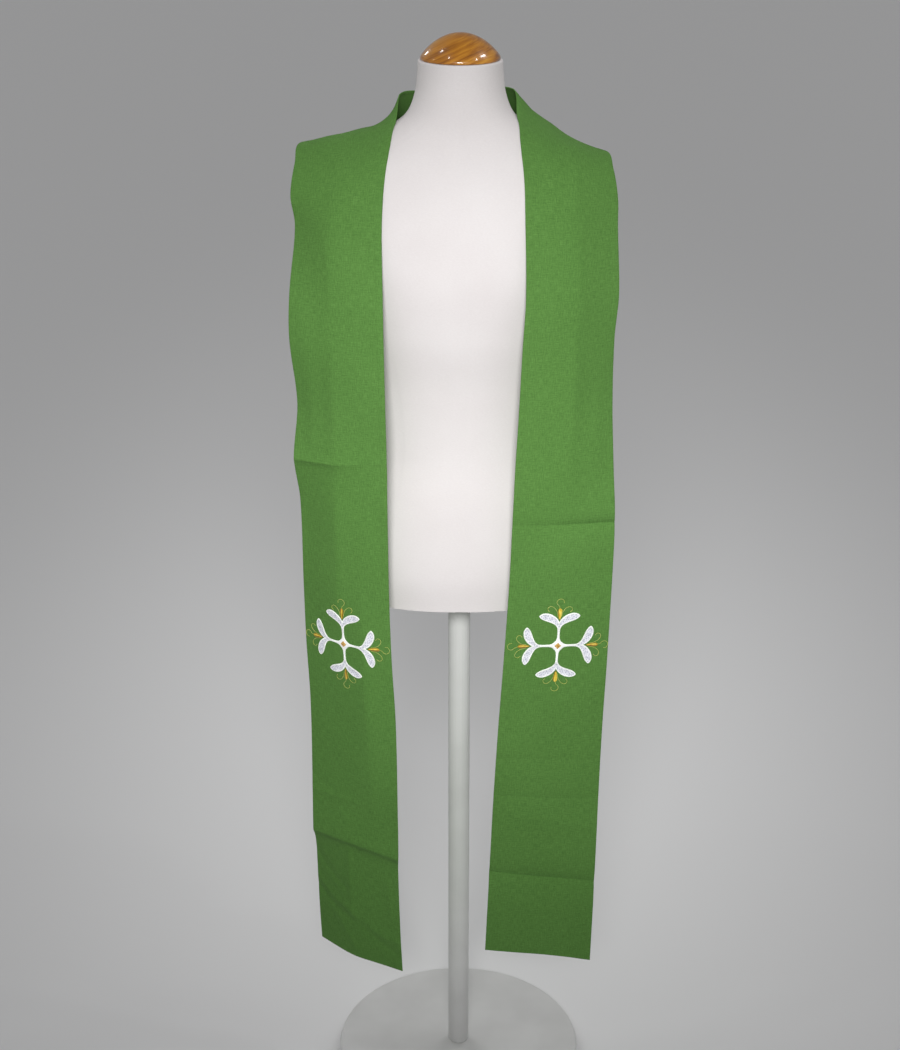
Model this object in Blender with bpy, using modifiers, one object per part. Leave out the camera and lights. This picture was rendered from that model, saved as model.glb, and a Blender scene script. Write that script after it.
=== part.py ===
"""A clerical stole that hangs on a limbless dress form.

Metres, +Z up. The origin is on the floor under the middle of the base. The form faces -Y, and the
wearer's left is at +X. The stole is two tapered strips with a mitred seam at the nape. Each one lies
over a shoulder and hangs free down the front. All its sections are worked out from the rows below.
"""

from collections import namedtuple
from math import cos, pi, radians, sin, sqrt, tan

import bmesh
import bpy
from mathutils import Matrix, Vector
from mathutils.geometry import delaunay_2d_cdt

# ---------------------------------------------------------------- driving sizes
GAP = 0.0003  # between pieces that touch
WALL = 0.0016  # face cloth, interlining and lining together
FACET_ALLOWANCE = 0.0008  # keeps the flat facets of the cloth clear of those of the form
NAPE_WIDTH = 0.121
HEM_WIDTH = 0.158
HALF_LENGTH = 1.45  # along the crease of a half, from the nape seam to the hem
CREASE_SHARE = 0.54  # the lengthwise crease, as a share of the width from the inner edge
STAND_SHARE = 0.28  # the line where the cloth turns up beside the neck

BASE_RADIUS = 0.19
BASE_THICKNESS = 0.018
POLE_RADIUS = 0.016
TORSO_BOTTOM = 0.80
NECK_TOP = 1.541
NECK_TILT = radians(4)  # the neck's top face leans forward
CAP_RADIUS = 0.052
CAP_HEIGHT = 0.0335

CROSS_ABOVE_HEM = {"right": 0.5294, "left": 0.5055}
CROSS_OUTWARD = {"right": 0.0, "left": 0.0015}  # from the middle of the strip
EMBROIDERY_HEIGHT = 0.0010
ARMS = ("out", "up", "in", "down")  # a quarter turn apart

ALONG_STEPS = 72
COLUMNS = (0.0, 0.13, STAND_SHARE, 0.42, CREASE_SHARE, 0.68, 0.84, 1.0)
TORSO_SIDES = 40

# ---------------------------------------------------------------- sections of the dress form
Ring = namedtuple("Ring", "height half_width front back squareness")
TORSO_RINGS = (
    Ring(0.800, 0.150, 0.094, 0.108, 2.3),
    Ring(0.850, 0.158, 0.098, 0.114, 2.3),
    Ring(0.930, 0.152, 0.092, 0.104, 2.3),
    Ring(1.020, 0.128, 0.080, 0.084, 2.2),
    Ring(1.110, 0.136, 0.088, 0.092, 2.2),
    Ring(1.190, 0.154, 0.108, 0.106, 2.3),
    Ring(1.260, 0.172, 0.118, 0.116, 2.4),
    Ring(1.320, 0.190, 0.113, 0.121, 2.4),
    Ring(1.365, 0.203, 0.100, 0.118, 2.3),
    Ring(1.400, 0.203, 0.086, 0.108, 2.2),
    Ring(1.417, 0.190, 0.077, 0.100, 2.1),
    Ring(1.429, 0.165, 0.070, 0.093, 2.0),
    Ring(1.441, 0.130, 0.064, 0.086, 2.0),
    Ring(1.455, 0.098, 0.060, 0.079, 2.0),
    Ring(1.471, 0.073, 0.058, 0.070, 2.0),
    Ring(1.495, 0.0610, 0.056, 0.061, 2.0),
    Ring(1.518, 0.0570, 0.055, 0.057, 2.0),
    Ring(1.541, 0.0555, 0.0555, 0.0555, 2.0),
)

# ---------------------------------------------------------------- sections of the stole
# Over the shoulder, a row gives the inner edge, the line that turns up beside the neck, the crease
# and the outer edge, each as (out, back, up): out from the middle of the body, back along +Y.
Over = namedtuple("Over", "place inner stand crease outer")
# Below the shoulder, each section is level. A row gives its height, the place of the crease, and the
# turns in degrees: how far the cloth comes forward from the crease to the stand line, and on to its
# inner edge, and how far it goes back from the crease to its outer edge.
Hang = namedtuple("Hang", "height crease_out crease_back inner_turn edge_turn outer_turn")

RIGHT_OVER = (
    Over("nape", (0.0148, 0.081, 1.497), (0.0148, 0.094, 1.457), (0.0148, 0.109, 1.420),
         (0.0148, 0.124, 1.345)),
    Over("behind", (0.050, 0.067, 1.495), (0.056, 0.081, 1.461), (0.065, 0.099, 1.428),
         (0.080, 0.115, 1.374)),
    Over("neck", (0.0785, 0.027, 1.494), (0.090, 0.037, 1.461), (0.111, 0.052, 1.443),
         (0.147, 0.068, 1.410)),
    Over("crest", (0.084, -0.014, 1.465), (0.115, -0.008, 1.453), (0.149, -0.003, 1.446),
         (0.209, 0.004, 1.433)),
    Over("collarbone", (0.092, -0.058, 1.430), (0.125, -0.057, 1.424), (0.158, -0.052, 1.419),
         (0.2165, -0.038, 1.411)),
    Over("chest", (0.0985, -0.085, 1.388), (0.133, -0.086, 1.385), (0.166, -0.081, 1.381),
         (0.2215, -0.055, 1.374)),
)
RIGHT_HANG = (
    Hang(1.335, 0.171, -0.097, 5, 5, 40),
    Hang(1.250, 0.1705, -0.111, 10, 10, 27),
    Hang(1.190, 0.170, -0.113, 13, 13, 24),
    Hang(1.100, 0.1695, -0.112, 15, 15, 37),
    Hang(1.024, 0.169, -0.111, 16, 16, 27),
    Hang(0.960, 0.1695, -0.110, 17, 17, 38),
    Hang(0.830, 0.1695, -0.104, 26, 11, 40),
    Hang(0.740, 0.1665, -0.098, 33, 9, 38),
    Hang(0.640, 0.1620, -0.093, 35, 12, 37),
    Hang(0.500, 0.1590, -0.088, 34, 27, 33),
    Hang(0.435, 0.1595, -0.087, 32, 29, 34),
    Hang(0.405, 0.1625, -0.087, 28, 28, 41),
    Hang(0.300, 0.1613, -0.084, 28, 29, 43),
    Hang(0.2270, 0.1595, -0.080, 28, 29, 44),
)
LEFT_OVER = (
    Over("nape", (-0.0142, 0.081, 1.497), (-0.0142, 0.094, 1.457), (-0.0142, 0.109, 1.420),
         (-0.0142, 0.124, 1.345)),
    Over("behind", (0.032, 0.072, 1.500), (0.041, 0.086, 1.466), (0.053, 0.102, 1.432),
         (0.074, 0.116, 1.372)),
    Over("neck", (0.070, 0.028, 1.498), (0.092, 0.035, 1.475), (0.115, 0.048, 1.452),
         (0.149, 0.066, 1.411)),
    Over("crest", (0.074, -0.014, 1.471), (0.104, -0.008, 1.456), (0.136, -0.004, 1.441),
         (0.193, 0.004, 1.423)),
    Over("collarbone", (0.078, -0.058, 1.436), (0.110, -0.056, 1.428), (0.143, -0.052, 1.418),
         (0.200, -0.038, 1.404)),
    Over("chest", (0.082, -0.085, 1.388), (0.116, -0.086, 1.384), (0.149, -0.081, 1.379),
         (0.2055, -0.055, 1.370)),
)
LEFT_HANG = (
    Hang(1.335, 0.153, -0.097, 9, 9, 29),
    Hang(1.250, 0.1545, -0.110, 12, 12, 27),
    Hang(1.190, 0.152, -0.113, 12, 12, 31),
    Hang(1.100, 0.1505, -0.115, 8, 8, 30),
    Hang(1.020, 0.148, -0.118, 6, 6, 20),
    Hang(0.943, 0.1465, -0.120, 4, 4, 5),
    Hang(0.860, 0.1445, -0.121, 4, 4, 5),
    Hang(0.750, 0.140, -0.121, 4, 4, 4),
    Hang(0.620, 0.134, -0.121, 2, 2, 2),
    Hang(0.500, 0.130, -0.121, -2, -2, -3),
    Hang(0.380, 0.127, -0.121, -5, -5, -7),
    Hang(0.257, 0.1235, -0.121, -8, -8, -12),
)

# ---------------------------------------------------------------- the embroidered cross, in metres
# Four arms, each a thin stem that forks into two leaves. A leaf's middle line is a quarter of an
# ellipse, from the end of the stem round to its tip, and its rows give half its width on the way.
LEAF_START = 0.025
LEAF_REACH = 0.0195
LEAF_SPREAD = 0.0285
LeafRow = namedtuple("LeafRow", "share half_width")
LEAF_ROWS = (
    LeafRow(0.00, 0.0019),
    LeafRow(0.25, 0.0034),
    LeafRow(0.48, 0.0053),
    LeafRow(0.70, 0.0064),
    LeafRow(0.86, 0.0060),
    LeafRow(0.96, 0.0036),
    LeafRow(1.00, 0.0008),
)
LEAF_STEPS = 10
NOTCH_DEPTH = 0.0012  # between the two leaves of an arm, beyond where their edges meet
# From an arm's stem to the middle of the corner between two arms: along the arm, and to its side.
CORNER = ((0.0160, 0.0017), (0.0110, 0.0021), (0.0076, 0.0034), (0.0054, 0.0054))
BUD_START = 0.0395
BUD_LENGTH = 0.0165
BudRow = namedtuple("BudRow", "share half_width")
BUD_ROWS = (
    BudRow(0.00, 0.0006),
    BudRow(0.10, 0.0016),
    BudRow(0.45, 0.0028),
    BudRow(0.80, 0.0034),
    BudRow(0.94, 0.0024),
    BudRow(1.00, 0.0008),
)
BUD_STEPS = 9
DIAMOND_HALF = 0.0046

GREEN = (0.086, 0.222, 0.048, 1.0)
WHITE_THREAD = (0.80, 0.82, 0.78, 1.0)
GOLD_THREAD = (0.62, 0.38, 0.06, 1.0)
JERSEY = (0.72, 0.70, 0.68, 1.0)
VARNISHED_WOOD = (0.42, 0.19, 0.05, 1.0)
PAINTED_STEEL = (0.56, 0.56, 0.55, 1.0)


# ---------------------------------------------------------------- small tools
def clear_scene():
    for old in list(bpy.data.objects):
        bpy.data.objects.remove(old, do_unlink=True)


def new_collection(name):
    made = bpy.data.collections.new(name)
    bpy.context.scene.collection.children.link(made)
    return made


def material(name, colour, roughness, metallic=0.0):
    made = bpy.data.materials.new(name)
    made.use_nodes = True
    shader = made.node_tree.nodes["Principled BSDF"]
    shader.inputs["Base Color"].default_value = colour
    shader.inputs["Roughness"].default_value = roughness
    shader.inputs["Metallic"].default_value = metallic
    return made


def add_object(name, mesh, colour, roughness, collection, metallic=0.0):
    made = bpy.data.objects.new(name, mesh)
    mesh.materials.append(material(name, colour, roughness, metallic))
    collection.objects.link(made)
    return made


def between(rows, knots, at):
    """The point at `at` on a smooth curve through the rows (Catmull-Rom with uneven knots)."""
    last = len(rows) - 1
    left = max(i for i in range(last) if knots[i] <= at or i == 0)
    before, after = max(left - 1, 0), min(left + 2, last)
    span = knots[left + 1] - knots[left]
    share = min(max((at - knots[left]) / span, 0.0), 1.0)
    start_slope = (rows[left + 1] - rows[before]) / (knots[left + 1] - knots[before])
    end_slope = (rows[after] - rows[left]) / (knots[after] - knots[left])
    square, cube = share * share, share ** 3
    return (
        rows[left] * (2 * cube - 3 * square + 1)
        + start_slope * (span * (cube - 2 * square + share))
        + rows[left + 1] * (3 * square - 2 * cube)
        + end_slope * (span * (cube - square))
    )


def level(turn):
    """A level step outward that also goes back by `turn` degrees."""
    return Vector((cos(radians(turn)), sin(radians(turn)), 0))


# ---------------------------------------------------------------- the cloth's surface
class HalfStole:
    """One half of the stole as a surface: point(along, across), with both running from 0 to 1."""

    def __init__(self, name, side, over, hang):
        self.name = name
        self.side = side  # -1 is the wearer's right, +1 the left
        edges = ("inner", "stand", "crease", "outer")
        rows = [[Vector(getattr(row, edge)) for edge in edges] for row in over]
        run = sum((lower[2] - upper[2]).length for upper, lower in zip(rows, rows[1:]))
        above = rows[-1][2]
        for row in hang:
            crease = Vector((row.crease_out, row.crease_back, row.height))
            run += (crease - above).length
            width = self.width(run)
            stand = crease - level(row.inner_turn) * width * (CREASE_SHARE - STAND_SHARE)
            inner = stand - level(row.edge_turn) * width * STAND_SHARE
            outer = crease + level(row.outer_turn) * width * (1 - CREASE_SHARE)
            rows.append([inner, stand, crease, outer])
            above = crease
        self.rows = rows
        self.knots = [0.0]
        for upper, lower in zip(rows, rows[1:]):
            self.knots.append(self.knots[-1] + (lower[2] - upper[2]).length)
        self.length = self.knots[-1]

    @staticmethod
    def width(run):
        """The cut's width at a distance from the nape seam."""
        return NAPE_WIDTH + (HEM_WIDTH - NAPE_WIDTH) * min(run / HALF_LENGTH, 1.0)

    def point(self, along, across):
        at = along * self.length
        section = [between([row[column] for row in self.rows], self.knots, at) for column in range(4)]
        spot = between(section, (0.0, STAND_SHARE, CREASE_SHARE, 1.0), across)
        return Vector((self.side * spot.x, spot.y, spot.z))

    def grid_point(self, row, column):
        return self.point(row_share(row), COLUMNS[column])

    def on_cloth(self, out, up, lift):
        """A point of the embroidery, `out` and `up` from the middle of the cross."""
        run = self.length - CROSS_ABOVE_HEM[self.name] - up
        share = 0.5 + (CROSS_OUTWARD[self.name] + out) / self.width(run)
        row = max(i for i in range(ALONG_STEPS) if row_share(i) * self.length <= run)
        column = max(i for i in range(len(COLUMNS) - 1) if COLUMNS[i] <= share)
        upper, lower = row_share(row), row_share(row + 1)
        down = (run / self.length - upper) / (lower - upper)
        over = (share - COLUMNS[column]) / (COLUMNS[column + 1] - COLUMNS[column])
        near = self.grid_point(row, column).lerp(self.grid_point(row + 1, column), down)
        far = self.grid_point(row, column + 1).lerp(self.grid_point(row + 1, column + 1), down)
        fall = self.grid_point(row + 1, column) - self.grid_point(row, column)
        normal = (fall.cross(far - near) * self.side).normalized()
        return near.lerp(far, over) + normal * lift


def row_share(row):
    """Rows lie closer together over the shoulder than down the front."""
    share = row / ALONG_STEPS
    return share * (0.62 + 0.38 * share)


def strip_mesh(half):
    """The half's mid surface as a grid, with its faces pointing outward."""
    grid = bmesh.new()
    bmesh.ops.create_grid(grid, x_segments=ALONG_STEPS, y_segments=len(COLUMNS) - 1, size=0.5)
    for vertex in grid.verts:
        row = round((vertex.co.x + 0.5) * ALONG_STEPS)
        column = round((vertex.co.y + 0.5) * (len(COLUMNS) - 1))
        vertex.co = half.grid_point(row, column)
    if half.side < 0:
        bmesh.ops.reverse_faces(grid, faces=grid.faces)
    mesh = bpy.data.meshes.new(half.name)
    grid.to_mesh(mesh)
    grid.free()
    mesh.shade_smooth()
    return mesh


def make_half(half, torso, collection):
    strip = add_object("stole_half_" + half.name, strip_mesh(half), GREEN, 0.8, collection)
    rest = strip.modifiers.new("rests on the form", "SHRINKWRAP")
    rest.target = torso
    rest.wrap_method = "NEAREST_SURFACEPOINT"
    rest.wrap_mode = "OUTSIDE"
    rest.offset = WALL / 2 + GAP + FACET_ALLOWANCE
    wall = strip.modifiers.new("wall", "SOLIDIFY")
    wall.thickness = WALL
    wall.offset = 0.0
    return strip


# ---------------------------------------------------------------- the embroidery
def leaf_edge(share, side):
    """A point on a leaf's edge, as (along the arm, to its side); side is +1 by the bud, -1 by the stem."""
    turn = pi / 2 * share
    middle = Vector((LEAF_START + LEAF_REACH * sin(turn), LEAF_SPREAD * (1 - cos(turn))))
    ahead = Vector((LEAF_REACH * cos(turn), LEAF_SPREAD * sin(turn))).normalized()
    widths = [Vector((row.half_width, 0, 0)) for row in LEAF_ROWS]
    half_width = between(widths, [row.share for row in LEAF_ROWS], share).x
    return middle + Vector((ahead.y, -ahead.x)) * half_width * side


def cross_outline():
    """The white cross's outline, once round from the notch of the first arm."""
    shares = [i / LEAF_STEPS for i in range(LEAF_STEPS + 1)]
    bud_side = [spot for spot in (leaf_edge(share, 1) for share in shares) if spot.y > NOTCH_DEPTH / 2]
    stem_side = [leaf_edge(share, -1) for share in reversed(shares)]
    notch = Vector((bud_side[0].x - NOTCH_DEPTH, 0.0))
    to_corner = bud_side + stem_side + [Vector(spot) for spot in CORNER]
    from_corner = [Vector((spot.y, spot.x)) for spot in reversed(to_corner[:-1])]
    outline = []
    for quarter in range(4):
        turn = Matrix.Rotation(quarter * pi / 2, 2)
        outline += [turn @ spot for spot in [notch] + to_corner + from_corner]
    return outline


def bud_outline():
    """Narrow in the notch between two leaves, widest near its blunt outer end."""
    shares = [row.share for row in BUD_ROWS]
    widths = [Vector((row.half_width, 0, 0)) for row in BUD_ROWS]
    right = []
    for i in range(BUD_STEPS + 1):
        share = i / BUD_STEPS
        right.append(Vector((BUD_START + BUD_LENGTH * share, -between(widths, shares, share).x)))
    return right + [Vector((spot.x, -spot.y)) for spot in reversed(right)]


def flat_faces(outline, spacing):
    """A flat net of triangles inside an outline, with points every `spacing` so that it can bend."""
    reach = max(max(abs(spot.x), abs(spot.y)) for spot in outline)
    count = int(reach / spacing)
    edges = [(i, (i + 1) % len(outline)) for i in range(len(outline))]
    inner = [
        Vector((x * spacing, y * spacing))
        for x in range(-count, count + 1)
        for y in range(-count, count + 1)
        if clear_inside(Vector((x * spacing, y * spacing)), outline, spacing * 0.3)
    ]
    result = delaunay_2d_cdt(list(outline) + inner, edges, [list(range(len(outline)))], 1, 1e-6)
    return result[0], result[2]


def clear_inside(spot, outline, margin):
    inside = False
    for start, end in zip(outline, outline[1:] + outline[:1]):
        run = end - start
        share = min(max((spot - start).dot(run) / run.length_squared, 0.0), 1.0)
        if (start + run * share - spot).length < margin:
            return False
        if (start.y > spot.y) != (end.y > spot.y):
            if spot.x < start.x + run.x * (spot.y - start.y) / run.y:
                inside = not inside
    return inside


def make_raised(name, half, outline, spacing, lift, colour, collection):
    """A thin raised solid on the cloth, from its flat outline."""
    spots, faces = flat_faces(outline, spacing)
    patch = bmesh.new()
    corners = [patch.verts.new(half.on_cloth(spot.x, spot.y, lift)) for spot in spots]
    for face in faces:
        made = patch.faces.new([corners[i] for i in face])
        if half.side < 0:
            made.normal_flip()
    mesh = bpy.data.meshes.new(name)
    patch.to_mesh(mesh)
    patch.free()
    raised = add_object(name, mesh, colour, 0.45, collection)
    thread = raised.modifiers.new("thread", "SOLIDIFY")
    thread.thickness = EMBROIDERY_HEIGHT
    thread.offset = 1.0
    return raised


def make_cross(half, collection):
    on_cloth = WALL / 2 + GAP
    make_raised("cross_" + half.name, half, cross_outline(), 0.004, on_cloth, WHITE_THREAD, collection)
    for quarter, arm in enumerate(ARMS):
        turn = Matrix.Rotation(quarter * pi / 2, 2)
        outline = [turn @ spot for spot in bud_outline()]
        make_raised("bud_%s_%s" % (half.name, arm), half, outline, 0.006, on_cloth, GOLD_THREAD, collection)
    diamond = [Matrix.Rotation(quarter * pi / 2, 2) @ Vector((DIAMOND_HALF, 0)) for quarter in range(4)]
    on_white = on_cloth + EMBROIDERY_HEIGHT + GAP
    make_raised("cross_centre_" + half.name, half, diamond, 0.02, on_white, GOLD_THREAD, collection)


# ---------------------------------------------------------------- the dress form
def ring_points(ring):
    """One section of the torso: a superellipse, deeper or shallower in front than behind."""
    points = []
    power = 2.0 / ring.squareness
    for side in range(TORSO_SIDES):
        angle = 2 * pi * side / TORSO_SIDES
        across = abs(cos(angle)) ** power * (1 if cos(angle) >= 0 else -1)
        deep = abs(sin(angle)) ** power * (1 if sin(angle) >= 0 else -1)
        depth = ring.back if deep > 0 else ring.front
        points.append(Vector((ring.half_width * across, depth * deep, ring.height)))
    return points


def make_torso(collection):
    heights = [ring.height for ring in TORSO_RINGS]
    spread = [Vector(ring[1:4]) for ring in TORSO_RINGS]
    power = [Vector((ring.squareness, 0, 0)) for ring in TORSO_RINGS]
    levels = []
    for low, high in zip(heights, heights[1:]):
        levels += [low, (low + high) / 2]
    levels.append(heights[-1])
    body = bmesh.new()
    above = None
    for level in levels:
        size = between(spread, heights, level)
        ring = Ring(level, size.x, size.y, size.z, between(power, heights, level).x)
        lean = max(0.0, (level - 1.495) / (NECK_TOP - 1.495)) * tan(NECK_TILT)
        row = [body.verts.new(spot + Vector((0, 0, spot.y * lean))) for spot in ring_points(ring)]
        if above is None:
            body.faces.new(list(reversed(row)))
        else:
            for i, low_vertex in enumerate(above):
                after = (i + 1) % TORSO_SIDES
                body.faces.new((low_vertex, above[after], row[after], row[i]))
        above = row
    body.faces.new(above)
    mesh = bpy.data.meshes.new("form_torso")
    body.to_mesh(mesh)
    body.free()
    mesh.shade_smooth()
    mesh.set_sharp_from_angle(angle=radians(50))
    return add_object("form_torso", mesh, JERSEY, 0.85, collection)


def turned(name, profile, colour, roughness, collection, steps=48, metallic=0.0):
    """A turned piece from its profile, (radius, height), from the top of its axis down its outer side."""
    outline = bpy.data.meshes.new(name)
    points = [(radius, 0, height) for radius, height in profile]
    outline.from_pydata(points, [(i, i + 1) for i in range(len(points) - 1)], [])
    piece = add_object(name, outline, colour, roughness, collection, metallic)
    spin = piece.modifiers.new("turn", "SCREW")
    spin.steps = steps
    spin.render_steps = steps
    spin.use_merge_vertices = True
    spin.merge_threshold = 0.0001
    spin.use_smooth_shade = True
    return piece


def make_cap(collection):
    """The wooden cap: a short upright rim under a dome."""
    rim = 0.003
    steps = 8
    dome = []
    for i in range(steps + 1):
        rise = cos(pi / 2 * i / steps)
        dome.append((CAP_RADIUS * sqrt(1 - rise ** 1.15), rim + (CAP_HEIGHT - rim) * rise))
    profile = dome + [(CAP_RADIUS, 0.0), (0.0, 0.0)]
    cap = turned("form_neck_cap", profile, VARNISHED_WOOD, 0.2, collection, steps=32)
    cap.location = (0, 0, NECK_TOP + GAP)
    cap.rotation_euler = (NECK_TILT, 0, 0)
    return cap


def make_pole(collection):
    length = TORSO_BOTTOM - BASE_THICKNESS - 2 * GAP
    pole = turned(
        "form_pole",
        [(0.0, length), (POLE_RADIUS, length), (POLE_RADIUS, 0.0), (0.0, 0.0)],
        PAINTED_STEEL, 0.4, collection, steps=24,
    )
    pole.location = (0, 0, BASE_THICKNESS + GAP)
    return pole


def make_base(collection):
    edge = 0.004
    profile = [
        (0.0, BASE_THICKNESS),
        (BASE_RADIUS - edge, BASE_THICKNESS),
        (BASE_RADIUS - 0.3 * edge, BASE_THICKNESS - 0.3 * edge),
        (BASE_RADIUS, BASE_THICKNESS - edge),
        (BASE_RADIUS, 0.0),
        (0.0, 0.0),
    ]
    return turned("form_base", profile, PAINTED_STEEL, 0.4, collection, steps=60)


def main():
    clear_scene()
    collection = new_collection("clerical_stole")
    torso = make_torso(collection)
    make_cap(collection)
    make_pole(collection)
    make_base(collection)
    for half in (
        HalfStole("right", -1, RIGHT_OVER, RIGHT_HANG),
        HalfStole("left", 1, LEFT_OVER, LEFT_HANG),
    ):
        make_half(half, torso, collection)
        make_cross(half, collection)


main()
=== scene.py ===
"""Looks of the clerical stole and of the limbless dress form that it hangs on.

Metres, +Z up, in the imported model's own frame: the form faces -Y and the wearer's left is at +X.
The cloth, the embroidery and the form's cover are modelled here at full fineness on the same
sections as the solids. The pole and the base stay as they are packed, with a better finish.
"""

from collections import namedtuple
from math import cos, pi, radians, sin, tan

import bpy
import numpy as np
from mathutils import Matrix, Vector
from mathutils.bvhtree import BVHTree


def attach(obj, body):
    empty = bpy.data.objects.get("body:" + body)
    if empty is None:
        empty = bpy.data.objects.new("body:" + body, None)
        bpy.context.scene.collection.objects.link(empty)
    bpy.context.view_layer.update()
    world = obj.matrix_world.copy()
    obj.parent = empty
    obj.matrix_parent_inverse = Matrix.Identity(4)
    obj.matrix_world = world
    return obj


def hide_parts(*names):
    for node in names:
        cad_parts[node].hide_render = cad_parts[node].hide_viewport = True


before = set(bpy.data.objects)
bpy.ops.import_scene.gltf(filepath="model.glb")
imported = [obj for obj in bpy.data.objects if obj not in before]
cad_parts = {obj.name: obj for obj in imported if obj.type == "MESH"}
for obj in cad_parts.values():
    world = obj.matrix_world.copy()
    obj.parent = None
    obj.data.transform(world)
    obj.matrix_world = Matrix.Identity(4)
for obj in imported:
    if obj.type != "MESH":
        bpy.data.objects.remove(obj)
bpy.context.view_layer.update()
scene = bpy.context.scene

# ---- the stole's sizes
WALL = 0.0016  # face cloth, interlining and lining together
CLEARANCE = 0.0004  # between the cloth and the form
FORM_REACH = 0.05  # within it, the cloth is checked against the form
NAPE_WIDTH = 0.121
HEM_WIDTH = 0.158
HALF_LENGTH = 1.45  # down the crease, where the strip reaches its full width
CREASE_SHARE = 0.54  # the lengthwise crease, as a share of the width from the inner edge
STAND_SHARE = 0.28  # the line where the cloth turns up beside the neck
SECTION_KNOTS = (0.0, STAND_SHARE, CREASE_SHARE, 1.0)
CREASE = 2  # which of a section's four points the crease is
CREASE_SOFTNESS = 0.03  # half the width over which it bends, as a share
HEM_SOFTNESS = 0.13  # the same at the hem, where it has opened out
PRESSED_FROM = 0.36  # how far below the nape the crease is half pressed in
PRESSED_OVER = 0.06  # how far above that it begins, and below it is complete
OPENED_FROM = 0.13  # how far above the hem it is half opened out
OPENED_OVER = 0.09

# ---- sections of the stole
# Over the shoulder: points (out from the body's middle, back, up) on the inner edge, on the line that
# turns up beside the neck, on the crease and on the outer edge. The rows are at the nape, behind,
# beside the neck, on the crest, on the collarbone and on the chest.
Over = namedtuple("Over", "inner stand crease outer")
# Below it, each section is level. The turns, in degrees, are how far the cloth comes forward from the
# crease to the stand line and on to its inner edge, and goes back from the crease to its outer edge.
Hang = namedtuple("Hang", "height crease_out crease_back inner_turn edge_turn outer_turn")

RIGHT_OVER = (
    Over((0.0146, 0.081, 1.497), (0.0146, 0.094, 1.457), (0.0146, 0.109, 1.42), (0.0146, 0.124, 1.345)),
    Over((0.05, 0.067, 1.495), (0.056, 0.081, 1.461), (0.065, 0.099, 1.428), (0.08, 0.115, 1.374)),
    Over((0.0785, 0.027, 1.494), (0.09, 0.037, 1.461), (0.111, 0.052, 1.443), (0.147, 0.068, 1.41)),
    Over((0.084, -0.014, 1.465), (0.115, -0.008, 1.453), (0.149, -0.003, 1.446), (0.209, 0.004, 1.433)),
    Over((0.092, -0.058, 1.43), (0.125, -0.057, 1.424), (0.158, -0.052, 1.419), (0.2165, -0.038, 1.411)),
    Over((0.0985, -0.085, 1.388), (0.133, -0.086, 1.385), (0.166, -0.081, 1.381), (0.2215, -0.055, 1.374)),
)
RIGHT_HANG = (
    Hang(1.335, 0.171, -0.097, 5, 5, 40),
    Hang(1.25, 0.1705, -0.111, 10, 10, 27),
    Hang(1.19, 0.17, -0.113, 13, 13, 24),
    Hang(1.1, 0.1695, -0.112, 15, 15, 37),
    Hang(1.024, 0.169, -0.111, 16, 16, 27),
    Hang(0.96, 0.1695, -0.11, 17, 17, 38),
    Hang(0.83, 0.1695, -0.104, 26, 11, 40),
    Hang(0.74, 0.1665, -0.098, 33, 9, 38),
    Hang(0.64, 0.162, -0.093, 35, 12, 37),
    Hang(0.5, 0.159, -0.088, 34, 27, 33),
    Hang(0.435, 0.1595, -0.087, 32, 29, 34),
    Hang(0.405, 0.1625, -0.087, 28, 28, 41),
    Hang(0.3, 0.1613, -0.084, 28, 29, 43),
    Hang(0.227, 0.1595, -0.08, 28, 29, 44),
)
LEFT_OVER = (
    Over((-0.0144, 0.081, 1.497), (-0.0144, 0.094, 1.457), (-0.0144, 0.109, 1.42), (-0.0144, 0.124, 1.345)),
    Over((0.032, 0.072, 1.5), (0.041, 0.086, 1.466), (0.053, 0.102, 1.432), (0.074, 0.116, 1.372)),
    Over((0.07, 0.028, 1.498), (0.092, 0.035, 1.475), (0.115, 0.048, 1.452), (0.149, 0.066, 1.411)),
    Over((0.074, -0.014, 1.471), (0.104, -0.008, 1.456), (0.136, -0.004, 1.441), (0.193, 0.004, 1.423)),
    Over((0.078, -0.058, 1.436), (0.11, -0.056, 1.428), (0.143, -0.052, 1.418), (0.2, -0.038, 1.404)),
    Over((0.082, -0.085, 1.388), (0.116, -0.086, 1.384), (0.149, -0.081, 1.379), (0.2055, -0.055, 1.37)),
)
LEFT_HANG = (
    Hang(1.335, 0.153, -0.097, 9, 9, 29),
    Hang(1.25, 0.1545, -0.11, 12, 12, 27),
    Hang(1.19, 0.152, -0.113, 12, 12, 31),
    Hang(1.1, 0.1505, -0.115, 8, 8, 30),
    Hang(1.02, 0.148, -0.118, 6, 6, 20),
    Hang(0.943, 0.1465, -0.12, 4, 4, 5),
    Hang(0.86, 0.1445, -0.121, 4, 4, 5),
    Hang(0.75, 0.14, -0.121, 4, 4, 4),
    Hang(0.62, 0.134, -0.121, 2, 2, 2),
    Hang(0.5, 0.13, -0.121, -2, -2, -3),
    Hang(0.38, 0.127, -0.121, -5, -5, -7),
    Hang(0.257, 0.1235, -0.121, -8, -8, -12),
)

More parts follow.
